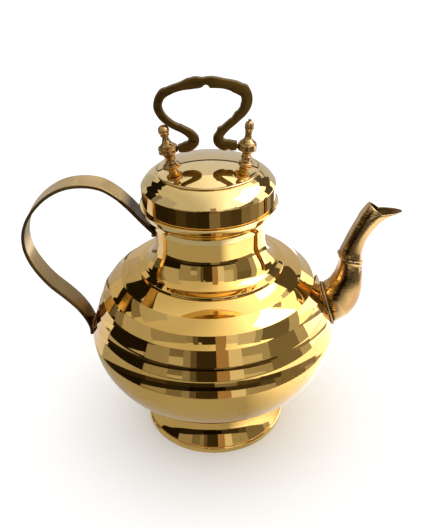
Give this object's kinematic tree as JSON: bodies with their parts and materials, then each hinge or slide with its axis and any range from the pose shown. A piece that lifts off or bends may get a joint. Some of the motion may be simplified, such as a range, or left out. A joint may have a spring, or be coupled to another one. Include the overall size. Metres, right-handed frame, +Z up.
{
  "type": "kettle",
  "caption": "Spouted brass kalash kettle: round belly with turned bands, splayed foot ring, strap side handle, cast spout and a lift-off domed lid with turned posts and a swinging bail",
  "frame": {"origin": "middle of the foot's rest face; the turned axis of the pot is the Z axis", "axes": "+X towards the spout, -X towards the strap handle, +Z up, +Y to the back of the pictured side"},
  "size_m": [0.2576, 0.175, 0.2624],
  "materials": {
    "polished_brass": "polished, with fine turning scratches and light tarnish",
    "satin_brass": "satin, hand-rubbed sheet strap",
    "cast_brass": "cast and filed, with file marks",
    "aged_brass": "turned, worn bright on the edges and dark in the grooves",
    "dark_brass": "cast, dark patina with bright rubbed edges",
    "solder": "dull brazing filler"
  },
  "bodies": {
    "pot": {"foot_ring": "polished_brass", "lower_bowl": "polished_brass", "upper_bowl": "polished_brass", "neck": "polished_brass", "mouth_rim": "polished_brass", "side_handle": "satin_brass", "handle_solder": "solder", "spout_root": "cast_brass", "spout_beak": "cast_brass", "spout_solder": "solder"},
    "lid": {"lid_collar": "polished_brass", "lid_band": "polished_brass", "lid_dome": "polished_brass", "lid_disc": "polished_brass", "left_post": "aged_brass", "right_post": "aged_brass", "post_washers": "aged_brass"},
    "bail": {"bail": "dark_brass"}
  },
  "joints": [
    {"name": "lid_lift", "type": "slide", "parent": "pot", "child": "lid", "axis": [0, 0, 1], "range_m": [0, 0.08]},
    {"name": "bail_swing", "type": "hinge", "parent": "lid", "child": "bail", "pos_m": [0, 0, 0.2173], "axis": [1, 0, 0], "range_deg": [-108, 108]}
  ]
}
